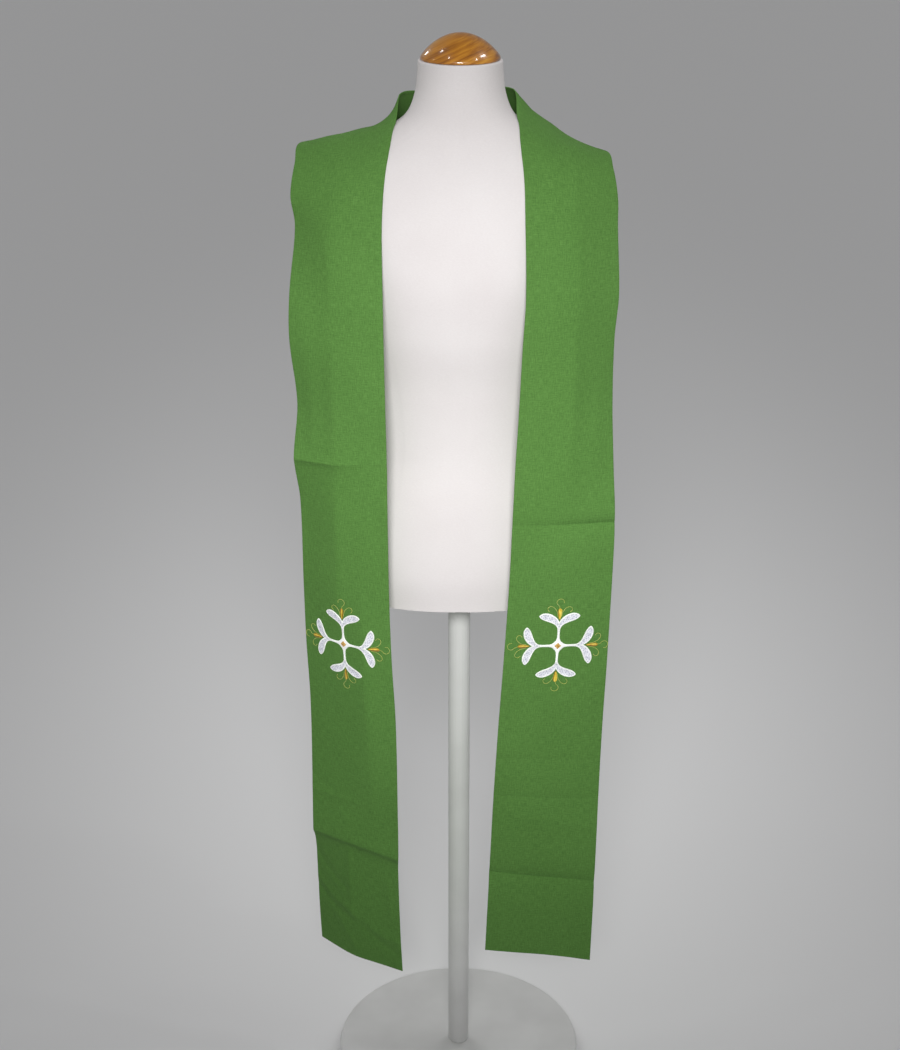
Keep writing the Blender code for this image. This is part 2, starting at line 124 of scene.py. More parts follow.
# ---- creases pressed in while it lay folded
# Across the strip. `at` and `strength` are for the inner edge, the middle and the outer edge: how far
# the crease is from the hem, and how strong it is. There the cloth stands out by `height`, or falls in
# where that is below zero. It flattens out over `above` and `below`, and `rounding` blunts it.
Fold = namedtuple("Fold", "at height above below rounding strength")
FOLDS = {"right": (
    Fold((0.8046, 0.7984, 0.7984), 0.0074, 0.015, 0.0088, 0.0006, (0.2, 0.85, 1)),
    Fold((0.203, 0.2082, 0.207), 0.012, 0.03, 0.0064, 0.006, (0.9, 1, 0.78)),
    Fold((0.2676, 0.2726, 0.2746), 0.0012, 0.009, 0.006, 0.001, (0.3, 1, 1)),
    Fold((0.4745, 0.4725, 0.4775), 0.0006, 0.01, 0.006, 0.001, (0.3, 0.6, 0.6)),
    Fold((1.33, 1.322, 1.318), 0.0014, 0.015, 0.008, 0.0006, (0.7, 1, 1)),
), "left": (
    Fold((0.6838, 0.682, 0.684), -0.0064, 0.008, 0.015, 0.0006, (0.34, 0.84, 1)),
    Fold((0.1346, 0.1302, 0.1286), -0.0074, 0.0145, 0.016, 0.0006, (0.9, 1, 0.9)),
    Fold((0.2683, 0.2643, 0.2645), -0.0016, 0.0075, 0.0075, 0.001, (0.9, 1, 0.8)),
    Fold((0.329, 0.327, 0.326), -0.001, 0.006, 0.007, 0.001, (0.8, 0.8, 0.7)),
    Fold((1.29, 1.296, 1.301), 0.0014, 0.015, 0.008, 0.0006, (0.7, 1, 1)),
)}
AT_KNOTS = (0, 0.5, 1)
STRENGTH_KNOTS = (0, 0.3, 0.6, 1)
# Softer ridges (and troughs, where the height is below zero) that run any way. `up` is above the
# hem, `share` is of the width from the inner edge, and `bow` moves the middle towards the hem.
RIDGE_WIDTH = 0.15  # the strip's width, for the slope of a ridge
Ridge = namedtuple(
    "Ridge", "start_up start_share end_up end_share height half_width bow", defaults=(0,))
RIDGES = {"right": (
    Ridge(0.165, 1.02, 0.1, 1.04, -0.003, 0.025),
    Ridge(0.162, 0.99, 0.118, 0.6, -0.0024, 0.007, 0.004),
    Ridge(0.118, 0.99, 0.086, 0.62, 0.0026, 0.0065, 0.006),
    Ridge(0.098, 0.98, 0.066, 0.52, -0.0022, 0.0055, 0.004),
    Ridge(0.088, 0.6, 0.052, 0.02, 0.0026, 0.007, 0.008),
    Ridge(0.07, 0.45, 0.03, 0.04, -0.002, 0.0065, 0.006),
    Ridge(0.06, 0.72, 0.018, 0.5, 0.0018, 0.0075),
    Ridge(0.186, 0.545, 0.07, 0.55, 0.0014, 0.0045),
    Ridge(0.15, 0.12, 0.09, 0.09, 0.0015, 0.006),
    Ridge(0.3, 0.97, 0.284, 0.74, -0.0012, 0.007, 0.002),
    Ridge(0.252, 0.66, 0.24, 0.58, 0.001, 0.005),
    Ridge(1.33, 0.45, 1.19, 0.12, -0.0016, 0.01, 0.01),
    Ridge(1.27, 0.75, 1.13, 0.4, 0.0012, 0.014, 0.01),
    Ridge(1, 0.86, 0.83, 0.8, 0.0016, 0.014),
    Ridge(0.76, 0.8, 0.64, 0.9, -0.0014, 0.015),
    Ridge(0.72, 0.25, 0.6, 0.1, 0.001, 0.015),
    Ridge(1.44, 0.3, 1.33, 0.75, 0.0018, 0.015),
), "left": (
    Ridge(1.316, 0.33, 1.192, 0.13, -0.0018, 0.009, 0.01),
    Ridge(1.29, 0.55, 1.16, 0.3, 0.0014, 0.013, 0.01),
    Ridge(1.187, 0.6, 1.11, 0.54, 0.0012, 0.008),
    Ridge(0.9, 0.9, 0.76, 0.8, 0.0012, 0.015),
    Ridge(0.67, 0.82, 0.56, 0.95, -0.0012, 0.014),
    Ridge(0.64, 0.2, 0.52, 0.12, 0.0009, 0.015),
    Ridge(0.24, 0.15, 0.225, 0.8, 0.0009, 0.01, 0.004),
    Ridge(0.19, 0.4, 0.2, 0.95, -0.0009, 0.009, -0.003),
    Ridge(0.12, 0.16, 0.02, 0.12, 0.0011, 0.008),
    Ridge(0.112, 0.75, 0.015, 0.8, -0.0012, 0.012),
    Ridge(0.085, 0.25, 0.075, 0.7, 0.0009, 0.009, 0.003),
    Ridge(1.43, 0.35, 1.32, 0.8, 0.0018, 0.015),
)}
# Slow waves down each half, which slant across it.
Wave = namedtuple("Wave", "height length slant shift")
WAVES = (
    Wave(0.0007, 0.33, 3, 1),
    Wave(0.0004, 0.121, -7, 1.7),
)
WAVE_PHASE = {"right": 0, "left": 2.1}
# The face cloth is turned in along its edges, which lie a little higher.
TURNING_WIDTH = 0.0085
TURNING_LIFT = 0.00022
HEM_TURNING = 0.013
TURNING_STEP = 0.0008
LINING_INSET = 0.004
LINING_DROP = 0.00025
LINING_STEP = 0.0006
EDGE_THICKNESS = 0.3  # of a pressed edge, as a share of the wall
EDGE_ROUNDING = 0.0013
NAPE_ROUNDED = 0.0009  # the part of that rounding which the seam at the nape leaves out
# Rows lie a step apart, and a fine step at the ends and about each crease that crosses the strip.
ROW_STEP = 0.004
FINE_STEP = 0.0007
FINE_ABOVE = 0.012
FINE_BELOW = 0.016
FINE_MARGIN = 0.002
LAST_GAP = 0.0003  # the least distance between the last two rows
EDGE_COLUMNS = (0, 0.0025, 0.0055, 0.01, 0.016, 0.024, 0.034, 0.044, 0.049, 0.054, 0.059, 0.064, 0.07)
MIDDLE_COLUMNS = np.linspace(0.084, 0.916, 46)

# ---- the embroidered cross
CROSS_ABOVE_HEM = {"right": 0.5294, "left": 0.5055}
CROSS_OUTWARD = {"right": 0, "left": 0.0015}
ARMS = ("out", "up", "in", "down")
LEAF_START = 0.025
LEAF_REACH = 0.0195
LEAF_SPREAD = 0.0285
LEAF_LENGTH = 0.0375  # along its bend
# Half the width at places: at shares of the length or, for a stem, at distances from the cross's middle.
LEAF_WIDTHS = (
    (0, 0.0019), (0.25, 0.0034), (0.48, 0.0052), (0.68, 0.006),
    (0.84, 0.0053), (0.95, 0.003), (1, 0.0006))
STEM_WIDTHS = (
    (0.0054, 0.0054), (0.0076, 0.0034), (0.011, 0.0021), (0.016, 0.0017),
    (0.021, 0.0017), (0.025, 0.0019))
BUD_START = 0.0395
BUD_LENGTH = 0.0165
BUD_WIDTHS = (
    (0, 0.0006), (0.1, 0.0016), (0.45, 0.0028), (0.8, 0.0034),
    (0.94, 0.0024), (1, 0.0008))
BUD_STITCHES = 16  # laid lengthwise
# Those from `first` to the one before `last`, counted across, are bright gold, the satin's painted sheen
# and highlight, and the rest are painted in shade with a darker copy of the same gold.
Bud = namedtuple("Bud", "first last slimness")
BUDS = {  # by the order of ARMS
    "right": (Bud(9, 13, 0.86), Bud(8, 12, 0.8), Bud(3, 7, 0.82), Bud(4, 8, 0.8)),
    "left": (Bud(9, 13, 0.82), Bud(0, 13, 0.9), Bud(3, 7, 0.82), Bud(3, 16, 0.9)),
}
DIAMOND_HALF = 0.005
DIAMOND_SLIT = (slice(6, 8), slice(3, 11))  # its cells in the gold's darker copy: painted shade along the slit
# How finely the patches are meshed, and how many rows at the root of every bud are painted in shade with
# the gold's darker copy.
LEAF_COLUMNS = 19
STEM_COLUMNS = 15
BUD_ROWS = 56
SHADED_ROOT_ROWS = 4
DIAMOND_STEPS = 15
STITCH = 0.00045  # from one satin stitch to the next
SHORT_STITCH = 0.965  # every second stitch of a leaf, as a share
LEAF_RAGGED = 0.012  # how unevenly they end, as a share
STEM_RAGGED = 0.03
BUD_RAGGED = 0.0004  # in metres
# Satin stitch: the height at the rim's crown and of the fill inside it, the rim's width, and how far
# every second thread stands out.
Satin = namedtuple("Satin", "crown fill rim rib")
LEAF_SATIN = Satin(0.00085, 0.00045, 0.0019, 0.00006)
STEM_SATIN = Satin(0.00085, 0.00085, 0.0034, 0.00005)
BUD_SATIN = Satin(0.0011, 0.0011, 0.0044, 0.00007)
DIAMOND_SATIN = Satin(0.0007, 0.0007, 0.003, 0.00006)
SETTLED_AT = 0.95  # where the rim is half down to the fill, as a share of its width
SETTLING = 4  # how fast it goes down there
FILL_FROM = 0.92  # where the fill's own thread begins, as a share of the rim's width
ARMS_MEET = 0.002  # how far from an edge the middle of the cross counts as
PAD = 0.00012  # under every patch
OUTLINE = 0.00002  # the height of a patch's own edge
DIAMOND_PAD = 0.0009  # the diamond lies on the satin
DIAMOND_OUTLINE = 0.0006
SLANT_PITCH = 0.0013  # the fill's slanted stitches
SLANT_HEIGHT = 0.00007
PIT_ACROSS = 0.0038  # between the pits where they end, in every second row
PIT_ALONG = 0.005
PIT_DEPTH = 0.00016
# Fine thread curls beyond each bud, as (along the arm, to its side) from the cross's middle: a loop
# at its tip and one curl to either side.
CURLS = (
    ((0.055, 0.0006), (0.059, 0.0012), (0.0618, 0.004), (0.0655, 0.0052), (0.0692, 0.003),
     (0.07, -0.0012), (0.0676, -0.0046), (0.064, -0.005)),
    ((0.044, 0.0026), (0.0505, 0.004), (0.056, 0.0072), (0.0592, 0.0118), (0.0584, 0.0158),
     (0.0548, 0.0172), (0.0516, 0.0148)),
    ((0.044, -0.0026), (0.05, -0.0038), (0.0552, -0.0068), (0.0582, -0.0114), (0.0572, -0.0158),
     (0.0534, -0.017), (0.0508, -0.0142)),
)
CURL_RADIUS = 0.00027

# ---- sections of the dress form
Ring = namedtuple("Ring", "height half_width front back squareness")
TORSO_RINGS = (
    Ring(0.8, 0.15, 0.094, 0.108, 2.3),
    Ring(0.85, 0.158, 0.098, 0.114, 2.3),
    Ring(0.93, 0.152, 0.092, 0.104, 2.3),
    Ring(1.02, 0.128, 0.08, 0.084, 2.2),
    Ring(1.11, 0.136, 0.088, 0.092, 2.2),
    Ring(1.19, 0.154, 0.108, 0.106, 2.3),
    Ring(1.26, 0.172, 0.118, 0.116, 2.4),
    Ring(1.32, 0.19, 0.113, 0.121, 2.4),
    Ring(1.365, 0.203, 0.1, 0.118, 2.3),
    Ring(1.4, 0.203, 0.086, 0.108, 2.2),
    Ring(1.417, 0.19, 0.077, 0.1, 2.1),
    Ring(1.429, 0.165, 0.07, 0.093, 2),
    Ring(1.441, 0.13, 0.064, 0.086, 2),
    Ring(1.455, 0.098, 0.06, 0.079, 2),
    Ring(1.471, 0.073, 0.058, 0.07, 2),
    Ring(1.495, 0.061, 0.056, 0.061, 2),
    Ring(1.518, 0.057, 0.055, 0.057, 2),
    Ring(1.541, 0.0555, 0.0555, 0.0555, 2),
)
NECK_TOP = 1.541
NECK_TILT = radians(4)
TILTED_FROM = 1.495
NECK_ROUND = 0.0024
CAP_RADIUS = 0.0526
CAP_HEIGHT = 0.0335
CAP_RIM = 0.003
CAP_RIM_ROWS = ((0.0001, 0.6), (0, 0.2), (-0.0006, 0))  # (added to the radius, share of the rim)
CAP_FULLNESS = 1.15
CAP_GAP = 0.0003
CAP_STEPS = 40
CAP_SIDES = 128
TORSO_SIDES = 144
TORSO_LEVELS = 170
NECK_LEVELS = 8
SEAM_ANGLES = (-90, -52, 0, 52, 90, 128, 180, 232)  # round the torso, in degrees from +X
SEAM_DEPTH = 0.0007
SEAM_HALF_WIDTH = 0.0014
SEAM_TOP = 1.47
SEAM_FADE = 0.02
COLLAR_SEAM = 1.489
COLLAR_SEAM_HALF_WIDTH = 0.0016
COLLAR_SEAM_SHARE = 0.9


# ---- small tools
def smooth(values, knots, at):
    """Points at `at` on a smooth curve through `values` (Catmull-Rom with uneven knots)."""
    values, knots, at = (np.asarray(item, float) for item in (values, knots, at))
    last = len(knots) - 1
    left = np.clip(np.searchsorted(knots, at, side="right") - 1, 0, last - 1)
    before, after = np.maximum(left - 1, 0), np.minimum(left + 2, last)
    span = (knots[left + 1] - knots[left])[..., None]
    share = np.clip((at[..., None] - knots[left][..., None]) / span, 0, 1)
    start_slope = (values[left + 1] - values[before]) / (knots[left + 1] - knots[before])[..., None]
    end_slope = (values[after] - values[left]) / (knots[after] - knots[left])[..., None]
    square, cube = share ** 2, share ** 3
    return (
        values[left] * (2 * cube - 3 * square + 1)
        + start_slope * span * (cube - 2 * square + share)
        + values[left + 1] * (3 * square - 2 * cube)
        + end_slope * span * (cube - square)
    )


def curve(values, knots, at):
    """The same curve through plain numbers."""
    return smooth([[value] for value in values], knots, at)[..., 0]


def between(knots, at):
    """The last knot before each place, and the share of the way from it to the next."""
    index = np.clip(np.searchsorted(knots, at) - 1, 0, len(knots) - 2)
    return index, ((at - knots[index]) / (knots[index + 1] - knots[index]))[..., None]


def smooth_width(widths, at):
    places, half_widths = zip(*widths)
    return curve(half_widths, places, at)


def unit(vectors):
    return vectors / np.maximum(np.linalg.norm(vectors, axis=-1, keepdims=True), 1e-12)


def jitter(count, amount, seed):
    """An even scatter of `amount` either way, the same each time, for stitches laid by hand."""
    wave = np.sin(np.arange(count) * 12.9898 + seed * 78.233) * 43758.5453
    return (wave - np.floor(wave) - 0.5) * 2 * amount


def new_object(name, data):
    made = bpy.data.objects.new(name, data)
    scene.collection.objects.link(made)
    return made


def mesh_object(name, points, faces, materials, marks=None, sharp=None, **places):
    """A smooth object. `marks` are its faces' materials, and `places` its points' own attributes."""
    mesh = bpy.data.meshes.new(name)
    mesh.from_pydata([tuple(point) for point in points], [], [tuple(face) for face in faces])
    for material in materials:
        mesh.materials.append(material)
    if marks is not None:
        mesh.polygons.foreach_set("material_index", np.asarray(marks, np.int32))
    for label, values in places.items():
        layer = mesh.attributes.new(label, "FLOAT_VECTOR", "POINT")
        layer.data.foreach_set("vector", np.asarray(values, np.float32).ravel())
    mesh.shade_smooth()
    if sharp is not None:
        mesh.set_sharp_from_angle(angle=radians(sharp))
    mesh.update()
    return new_object(name, mesh)


def grid_faces(rows, columns, offset=0, flip=False):
    index = offset + np.arange(rows * columns).reshape(rows, columns)
    quads = np.stack([index[:-1, :-1], index[1:, :-1], index[1:, 1:], index[:-1, 1:]], -1)
    return quads.reshape(-1, 4)[:, ::-1] if flip else quads.reshape(-1, 4)


def rim_faces(rows, columns, flip):
    """Quads that join the edges of two grids, the second of which follows on the first."""
    index = np.arange(rows * columns).reshape(rows, columns)
    loop = np.concatenate([index[0, :-1], index[:-1, -1], index[-1, :0:-1], index[:0:-1, 0]])
    after = np.roll(loop, -1)
    quads = np.stack([loop, after, after + index.size, loop + index.size], -1)
    return quads[:, ::-1] if flip else quads


def ring_faces(rings, sides, offset=0, flip=False):
    """Quads round a stack of closed rings."""
    index = offset + np.arange(rings * sides).reshape(rings, sides)
    after = np.roll(index, -1, axis=1)
    quads = np.stack([index[:-1], after[:-1], after[1:], index[1:]], -1).reshape(-1, 4)
    return quads[:, [0, 3, 2, 1]] if flip else quads


def ribs(count, height):
    """Every second thread stands out by `height`, and the others lie as deep."""
    return np.where(np.arange(count) % 2 == 0, height, -height)


# ---- materials
def new_material(name, roughness, colour=(0.5, 0.5, 0.5), **sockets):
    """A material and its shader. Extra values are set on the shader's own sockets."""
    made = bpy.data.materials.new(name)
    made.use_nodes = True
    shader = made.node_tree.nodes["Principled BSDF"]
    shader.inputs["Roughness"].default_value = roughness
    shader.inputs["Base Color"].default_value = (*colour, 1)
    for label, value in sockets.items():
        shader.inputs[label.replace("_", " ")].default_value = value
    return made, shader


def node(near, kind, links=(), **settings):
    """A node in the tree of `near`, with its settings; `links` are (input, socket or value)."""
    tree = near.id_data
    made = tree.nodes.new(kind)
    for label, value in settings.items():
        setattr(made, label, value)
    for socket, source in links:
        if hasattr(source, "is_linked"):
            tree.links.new(source, made.inputs[socket])
        else:
            made.inputs[socket].default_value = source
    return made


def math(operation, *sources, clamp=False):
    links = list(enumerate(sources))
    return node(sources[0], "ShaderNodeMath", links, operation=operation, use_clamp=clamp).outputs[0]


def weighted(*terms):
    """The sum of pairs of a socket and its weight."""
    total = math("MULTIPLY", *terms[0])
    for term in terms[1:]:
        total = math("ADD", total, math("MULTIPLY", *term))
    return total


def scaled(source, scale):
    """`source` times `scale`, part by part."""
    links = [(0, source), (1, scale)]
    return node(source, "ShaderNodeVectorMath", links, operation="MULTIPLY").outputs[0]


def parts_of(vector):
    return node(vector, "ShaderNodeSeparateXYZ", [(0, vector)]).outputs


def noise(place, pitches, detail=2.0, distortion=0.0):
    place = scaled(place, [1 / pitch for pitch in pitches])
    links = [("Vector", place), ("Scale", 1.0), ("Detail", detail), ("Distortion", distortion)]
    return node(place, "ShaderNodeTexNoise", links).outputs["Fac"]


def ramp(source, stops):
    made = node(source, "ShaderNodeValToRGB", [("Fac", source)])
    elements = made.color_ramp.elements
    for element, (place, colour) in zip(elements, (stops[0], stops[-1])):
        element.position, element.color = place, (*colour, 1)
    for place, colour in stops[1:-1]:
        elements.new(place).color = (*colour, 1)
    return made.outputs["Color"]


def paint(shader, source, stops):
    shader.id_data.links.new(ramp(source, stops), shader.inputs["Base Color"])


def bump(shader, height, distance):
    links = [("Height", height), ("Distance", distance), ("Strength", 1.0)]
    made = node(shader, "ShaderNodeBump", links)
    shader.id_data.links.new(made.outputs["Normal"], shader.inputs["Normal"])


def cloth_place(shader, label):
    """A place on flat cloth or thread: across it, along it, and which piece."""
    return node(shader, "ShaderNodeAttribute", attribute_name=label).outputs["Vector"]


def place_of(near, label="Object"):
    return node(near, "ShaderNodeTexCoord").outputs[label]


def shade(colour, factor):
    return tuple(part * factor for part in colour)


GREEN = (0.086, 0.2, 0.0445)
WEAVE_PITCH = 0.0009


def stole_material(name, green, roughness, coarseness):
    """A plain weave of uneven yarns: slubs along both, a fine mottle, and the weave's own relief."""
    made, shader = new_material(
        name, roughness, Specular_IOR_Level=0.05, Sheen_Weight=0.04, Sheen_Roughness=0.45)
    shader.inputs["Sheen Tint"].default_value = (0.62, 0.8, 0.5, 1)
    place = cloth_place(shader, "cloth")
    warp = noise(place, (0.0011, 0.01, 1))
    weft = noise(place, (0.01, 0.0011, 1))
    fleck = noise(place, (0.0018, 0.0018, 1), detail=1.0)
    cloud = noise(place, (0.09, 0.14, 1), detail=1.0)
    yarns = math("ADD", warp, weft)
    contrast = 0.26 * coarseness
    paint(shader, weighted((yarns, 0.36), (fleck, 0.2), (cloud, 0.08)), (
        (0.34, shade(green, 1 - contrast)),
        (0.5, green),
        (0.66, shade((green[0] * 1.06, green[1], green[2] * 1.08), 1 + contrast)),
    ))
    turns = parts_of(scaled(place, (2 * pi / WEAVE_PITCH,) * 3))
    weave = math("MULTIPLY", math("SINE", turns[0]), math("SINE", turns[1]))
    bump(shader, weighted((weave, 0.5), (yarns, 1.6)), 0.00016 * coarseness)
    return made


# `pits` is how much the colour is darkened in a fill's pits: painted shade.
Thread = namedtuple("Thread", "colour light dark sheen pits")
THREADS = {
    "white_thread": Thread((0.93, 0.95, 0.92), (0.99, 0.99, 0.98), (0.8, 0.83, 0.8), 0.3, 0),
    "white_fill": Thread((0.74, 0.75, 0.81), (0.9, 0.91, 0.95), (0.4, 0.42, 0.5), 0.3, 0.26),
    "gold_thread": Thread((0.78, 0.57, 0.05), (0.94, 0.8, 0.2), (0.48, 0.3, 0.012), 0.1, 0),
    # A darker copy of the gold thread: painted shade on the buds and in the diamond's slit.
    "gold_thread_painted_shade": Thread((0.31, 0.17, 0.01), (0.46, 0.28, 0.025), (0.18, 0.09, 0.004), 0.1, 0),
    "gold_centre": Thread((0.58, 0.33, 0.08), (0.8, 0.52, 0.18), (0.38, 0.2, 0.04), 0.3, 0),
    "curl_thread": Thread((0.54, 0.56, 0.12), (0.78, 0.76, 0.24), (0.34, 0.38, 0.05), 0.3, 0),
}


def thread_material(name, thread):
    """Satin stitch: threads, some lighter and some darker, with a soft gloss, and painted shade in the
    pits.
    """
    made, shader = new_material(
        name, 0.42, Specular_IOR_Level=0.45, Sheen_Weight=thread.sheen, Sheen_Roughness=0.35)
    place = cloth_place(shader, "thread")
    strand = noise(place, (0.01, 0.0005, 1))
    patch = noise(place, (0.006, 0.004, 1), detail=1.0)
    mixed = weighted((strand, 0.65), (patch, 0.35))
    # The colour is darkened where the fill's pits lie: painted shade in them.
    if thread.pits:
        turns = parts_of(scaled(place, (2 * pi / PIT_ACROSS, 2 * pi / PIT_ALONG, 0)))
        waves = [math("COSINE", turn) for turn in turns[:2]]
        pit = math("POWER", math("MULTIPLY", *waves, clamp=True), 2.0)
        mixed = math("SUBTRACT", mixed, math("MULTIPLY", pit, thread.pits))
    paint(shader, mixed, ((0.34, thread.dark), (0.5, thread.colour), (0.66, thread.light)))
    lines = math("SINE", parts_of(scaled(place, (2 * pi / STITCH,) * 3))[1])
    bump(shader, math("ADD", lines, strand), 0.00006)
    return made


def jersey_material():
    """The form's cover: fine off-white jersey."""
    made, shader = new_material(
        "form_jersey", 0.88, Specular_IOR_Level=0.25, Sheen_Weight=0.1, Sheen_Roughness=0.5)
    place = place_of(shader)
    rows = noise(place, (0.003, 0.003, 0.001), detail=1.0)
    cloud = noise(place, [1 / 9] * 3)
    mixed = weighted((rows, 0.4), (cloud, 0.6))
    paint(shader, mixed, ((0.32, (0.585, 0.552, 0.548)), (0.68, (0.63, 0.602, 0.598))))
    bump(shader, rows, 0.00008)
    return made


def wood_material():
    """Turned beech under an orange-brown varnish, its grain running up to the wearer's left."""
    made, shader = new_material(
        "varnished_wood", 0.3, Specular_IOR_Level=0.5,
        Coat_Weight=0.9, Coat_Roughness=0.06, Coat_IOR=1.5)
    links = [("Vector", place_of(shader)), ("Rotation", (0, radians(24), 0))]
    lean = node(shader, "ShaderNodeMapping", links).outputs[0]
    wide = noise(lean, (0.07, 0.03, 0.005), detail=3.0, distortion=0.25)
    fine = noise(lean, (0.045, 0.015, 0.0013))
    paint(shader, weighted((wide, 0.7), (fine, 0.3)), (
        (0.36, (0.205, 0.068, 0.004)),
        (0.47, (0.36, 0.135, 0.009)),
        (0.6, (0.49, 0.21, 0.018)),
        (0.7, (0.58, 0.29, 0.036)),
    ))
    bump(shader, fine, 0.00004)
    return made


def steel_material():
    """Light grey powder coat."""
    made, shader = new_material("painted_steel", 0.42, Specular_IOR_Level=0.5)
    place = place_of(shader)
    peel = noise(place, [1 / 900] * 3, detail=1.0)
    cloud = noise(place, [1 / 14] * 3)
    paint(shader, cloud, ((0.3, (0.53, 0.53, 0.52)), (0.7, (0.59, 0.59, 0.58))))
    bump(shader, peel, 0.00005)
    return made


# ---- the dress form
def ring_levels(levels):
    """Points of the form's cover, a ring for each level."""
    heights = [ring.height for ring in TORSO_RINGS]
    size = smooth([ring[1:] for ring in TORSO_RINGS], heights, levels)
    angle = np.linspace(0, 2 * pi, TORSO_SIDES, endpoint=False)
    power = 2 / size[:, 3:4]
    across, deep = (np.abs(wave) ** power * np.sign(wave) for wave in (np.cos(angle), np.sin(angle)))
    out = size[:, 0:1] * across
    back = np.where(deep > 0, size[:, 2:3], size[:, 1:2]) * deep
    lean = np.maximum(0, (levels - TILTED_FROM) / (NECK_TOP - TILTED_FROM)) * tan(NECK_TILT)
    up = levels[:, None] + back * lean[:, None]
    return np.stack([out, back, up], -1), angle


def seam_grooves(levels, angle, around):
    """How deep the seams are, as shares: those down the torso, and one round the foot of the neck."""
    groove = np.zeros(around.shape)
    for at in SEAM_ANGLES:
        gap = (np.degrees(angle) - at + 180) % 360 - 180
        groove = np.maximum(groove, np.exp(-((np.radians(gap) * around / SEAM_HALF_WIDTH) ** 2)))
    groove *= np.clip((SEAM_TOP - levels) / SEAM_FADE, 0, 1)[:, None]
    collar = np.exp(-(((levels - COLLAR_SEAM) / COLLAR_SEAM_HALF_WIDTH) ** 2))
    return np.maximum(groove, collar[:, None] * COLLAR_SEAM_SHARE)


def make_cover(jersey):
    """The torso and its neck in their cover, which is tucked in round the top."""
    levels = np.linspace(TORSO_RINGS[0].height, NECK_TOP - NECK_ROUND, TORSO_LEVELS)
    over = 1 - np.sin(np.linspace(0, pi / 2, NECK_LEVELS)[1:])
    levels = np.append(levels, NECK_TOP - NECK_ROUND * over)
    points, angle = ring_levels(levels)
    over_top = np.clip((levels - NECK_TOP) / NECK_ROUND + 1, 0, 1)
    tucked = NECK_ROUND * (1 - np.sqrt(1 - over_top ** 2))
    middle = np.array([0, 0, 1]) * points
    points = points - unit(points - middle) * tucked[:, None, None]
    groove = seam_grooves(levels, angle, np.linalg.norm(points - middle, axis=-1))
    points = points - unit(points - middle) * (groove * SEAM_DEPTH)[..., None]
    rings, sides = points.shape[:2]
    under = range(sides - 1, -1, -1)
    top = range((rings - 1) * sides, rings * sides)
    faces = [*ring_faces(rings, sides), under, top]
    cover = mesh_object("form_cover", points.reshape(-1, 3), faces, [jersey], sharp=50)
    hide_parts("form_torso")
    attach(cover, "root")
    return cover


def make_cap(wood):
    """The turned cap on the neck: a dome over a low rim."""
    rise = np.cos(pi / 2 * np.linspace(0, 1, CAP_STEPS + 1))
    dome = CAP_HEIGHT - CAP_RIM
    profile = [(CAP_RADIUS * (1 - up ** CAP_FULLNESS) ** 0.5, CAP_RIM + dome * up) for up in rise]
    profile += [(CAP_RADIUS + more, CAP_RIM * up) for more, up in CAP_RIM_ROWS]
    tilt = Matrix.Translation((0, 0, NECK_TOP + CAP_GAP)) @ Matrix.Rotation(NECK_TILT, 4, "X")
    points = [tilt @ Vector((0, 0, profile[0][1]))]
    for radius, up in profile[1:]:
        for side in range(CAP_SIDES):
            turn = 2 * pi * side / CAP_SIDES
            points.append(tilt @ Vector((radius * cos(turn), radius * sin(turn), up)))
    crown = [(0, 1 + side, 1 + (side + 1) % CAP_SIDES) for side in range(CAP_SIDES)]
    rings = ring_faces(len(profile) - 1, CAP_SIDES, offset=1, flip=True)
    under = range(len(points) - 1, len(points) - 1 - CAP_SIDES, -1)
    cap = mesh_object("form_cap", points, [*crown, *rings, under], [wood], sharp=40)
    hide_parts("form_neck_cap")
    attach(cap, "root")


def paint_stand(steel):
    for name in ("form_pole", "form_base"):
        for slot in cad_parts[name].material_slots:
            slot.material = steel


# ---- the cloth
def strip_width(run):
    return NAPE_WIDTH + (HEM_WIDTH - NAPE_WIDTH) * np.minimum(run / HALF_LENGTH, 1.0)


def level(turn):
    """A level step outward that also goes back by `turn` degrees."""
    return np.array((cos(radians(turn)), sin(radians(turn)), 0.0))


def flat_panels(shares, softness):
    """Weights of a section's four points: flat panels that meet at soft corners."""
    reach = np.minimum(softness, np.minimum(shares, 1 - shares))
    spots = shares[:, None] + reach[:, None] * np.linspace(-1, 1, 25)
    return np.stack([np.interp(spots, SECTION_KNOTS, corner) for corner in np.eye(4)], -1).mean(axis=1)


def section_points(over, hang):
    """Each section's inner edge, stand line, crease and outer edge, from the nape to the hem."""
    rows = [np.array(row) for row in over]
    run = sum(np.linalg.norm(lower[CREASE] - upper[CREASE]) for upper, lower in zip(rows, rows[1:]))
    for row in hang:
        crease = np.array((row.crease_out, row.crease_back, row.height))
        run += np.linalg.norm(crease - rows[-1][CREASE])
        width = float(strip_width(run))
        stand = crease - level(row.inner_turn) * width * (CREASE_SHARE - STAND_SHARE)
        inner = stand - level(row.edge_turn) * width * STAND_SHARE
        outer = crease + level(row.outer_turn) * width * (1 - CREASE_SHARE)
        rows.append(np.array([inner, stand, crease, outer]))
    return np.array(rows)


